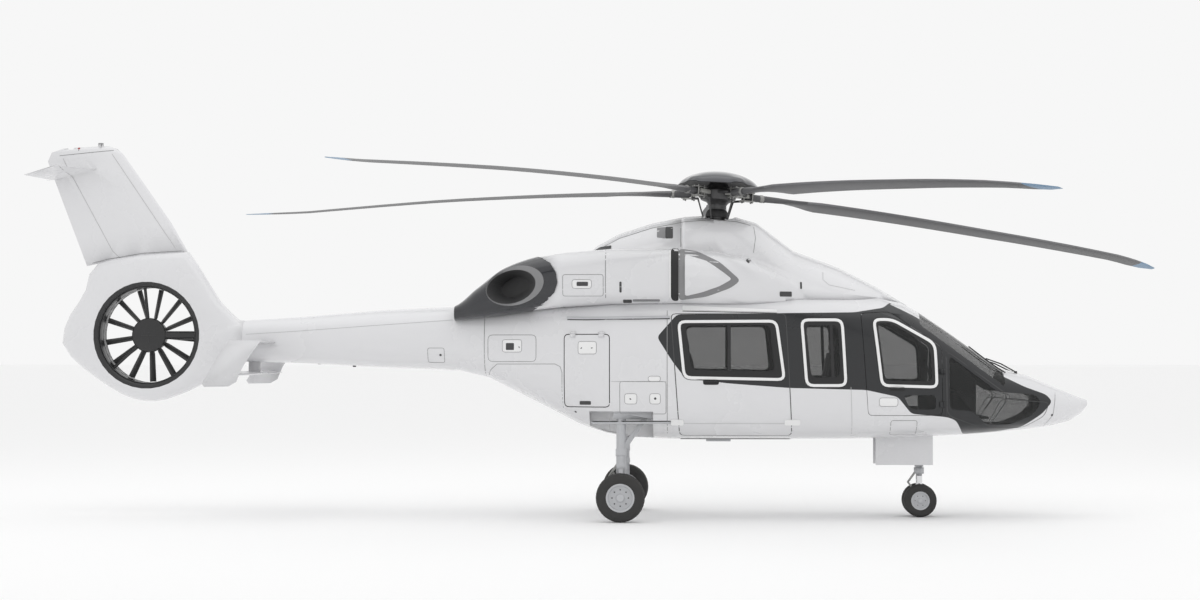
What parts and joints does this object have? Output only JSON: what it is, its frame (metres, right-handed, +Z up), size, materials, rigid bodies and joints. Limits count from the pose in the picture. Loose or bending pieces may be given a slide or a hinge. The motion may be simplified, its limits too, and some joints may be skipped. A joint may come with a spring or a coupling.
{
  "type": "twin-engine transport helicopter",
  "caption": "Helicopter with a bladed main rotor, shrouded tail fan, biplane stabiliser, glazed cabin with doors and wheeled landing gear.",
  "frame": {"origin": "centre of the lower face of the belly hook pad, under the rotor mast", "axes": "+X towards the nose, +Y to port, +Z up; the ground under the wheels is at z = -0.98 m"},
  "size_m": [15.2679, 12.3897, 4.925],
  "materials": {
    "white_paint": "gloss",
    "black_paint": "gloss",
    "black_trim": "satin",
    "tinted_glass": "polished",
    "floor_panel": "matt",
    "panel_grey": "matt",
    "seat_leather": "satin",
    "engine_metal": "satin",
    "gear_metal": "satin",
    "hub_metal": "satin",
    "blade_grey": "satin",
    "fan_grey": "satin",
    "tyre_rubber": "matt"
  },
  "bodies": {
    "airframe": {"cabin_shell": "white_paint", "nose_shell": "white_paint", "rear_fuselage": "white_paint", "nose_cone": "white_paint", "engine_cowling": "white_paint", "deck_fairing": "white_paint", "tail_boom": "white_paint", "tail_shroud": "white_paint", "tail_fin": "white_paint", "stabiliser": "white_paint", "cabin_floor": "floor_panel", "sliding_door_left": "white_paint", "cabin_glass_left": "tinted_glass", "side_glass_left": "tinted_glass", "nose_glass_left": "tinted_glass", "windscreen_left": "tinted_glass", "pilot_seat_left": "seat_leather", "exhaust_left": "black_paint", "engine_left": "engine_metal", "main_gear_leg_left": "gear_metal", "nose_gear_door_left": "white_paint", "sliding_door_right": "white_paint", "cabin_glass_right": "tinted_glass", "side_glass_right": "tinted_glass", "nose_glass_right": "tinted_glass", "windscreen_right": "tinted_glass", "pilot_seat_right": "seat_leather", "exhaust_right": "black_paint", "engine_right": "engine_metal", "main_gear_leg_right": "gear_metal", "nose_gear_door_right": "white_paint", "cabin_seats_front": "seat_leather", "cabin_seats_rear": "seat_leather", "instrument_panel": "panel_grey", "main_gearbox": "engine_metal", "fan_pod": "black_trim", "nose_gear_leg": "gear_metal", "belly_hook_pad": "gear_metal"},
    "main_rotor": {"rotor_head": "hub_metal", "rotor_cap": "black_paint", "rotor_blade_1": "blade_grey", "rotor_blade_2": "blade_grey", "rotor_blade_3": "blade_grey", "rotor_blade_4": "blade_grey", "rotor_blade_5": "blade_grey"},
    "tail_fan": {"fan_rotor": "fan_grey"},
    "pilot_door_left": {"pilot_door_left": "white_paint", "pilot_glass_left": "tinted_glass", "pilot_low_glass_left": "tinted_glass"},
    "pilot_door_right": {"pilot_door_right": "white_paint", "pilot_glass_right": "tinted_glass", "pilot_low_glass_right": "tinted_glass"},
    "baggage_door_left": {"baggage_door_left": "white_paint"},
    "baggage_door_right": {"baggage_door_right": "white_paint"},
    "nose_steering": {"nose_gear_fork": "gear_metal"},
    "nose_wheel_pair": {"nose_wheels": "tyre_rubber"},
    "main_wheel_left": {"main_wheel_left": "tyre_rubber"},
    "main_wheel_right": {"main_wheel_right": "tyre_rubber"}
  },
  "joints": [
    {"name": "main_rotor_turn", "type": "hinge", "parent": "airframe", "child": "main_rotor", "pos_m": [0, 0, 3.233], "axis": [0.054, 0.0523, 0.9972], "continuous": true},
    {"name": "tail_fan_turn", "type": "hinge", "parent": "airframe", "child": "tail_fan", "pos_m": [-7.53, 0.105, 1.39], "axis": [0, 1, 0], "continuous": true},
    {"name": "pilot_door_left_open", "type": "hinge", "parent": "airframe", "child": "pilot_door_left", "pos_m": [2.832, 0.919, 0.7], "axis": [0, 0, -1], "range_deg": [0, 80]},
    {"name": "pilot_door_right_open", "type": "hinge", "parent": "airframe", "child": "pilot_door_right", "pos_m": [2.832, -0.919, 0.7], "axis": [0, 0, 1], "range_deg": [0, 80]},
    {"name": "baggage_door_left_open", "type": "hinge", "parent": "airframe", "child": "baggage_door_left", "pos_m": [-1.87, 0.88, 1.3945], "axis": [0.9854, 0.1704, 0], "range_deg": [0, 85]},
    {"name": "baggage_door_right_open", "type": "hinge", "parent": "airframe", "child": "baggage_door_right", "pos_m": [-1.87, -0.88, 1.3945], "axis": [-0.9854, 0.1704, 0], "range_deg": [0, 85]},
    {"name": "nose_steering_turn", "type": "hinge", "parent": "airframe", "child": "nose_steering", "pos_m": [2.62, 0, -0.5], "axis": [0, 0, 1], "range_deg": [-70, 70]},
    {"name": "nose_wheel_pair_roll", "type": "hinge", "parent": "nose_steering", "child": "nose_wheel_pair", "pos_m": [2.62, 0, -0.765], "axis": [0, 1, 0], "continuous": true},
    {"name": "main_wheel_left_roll", "type": "hinge", "parent": "airframe", "child": "main_wheel_left", "pos_m": [-1.25, 1.2, -0.67], "axis": [0, 1, 0], "continuous": true},
    {"name": "main_wheel_right_roll", "type": "hinge", "parent": "airframe", "child": "main_wheel_right", "pos_m": [-1.25, -1.2, -0.67], "axis": [0, 1, 0], "continuous": true}
  ]
}
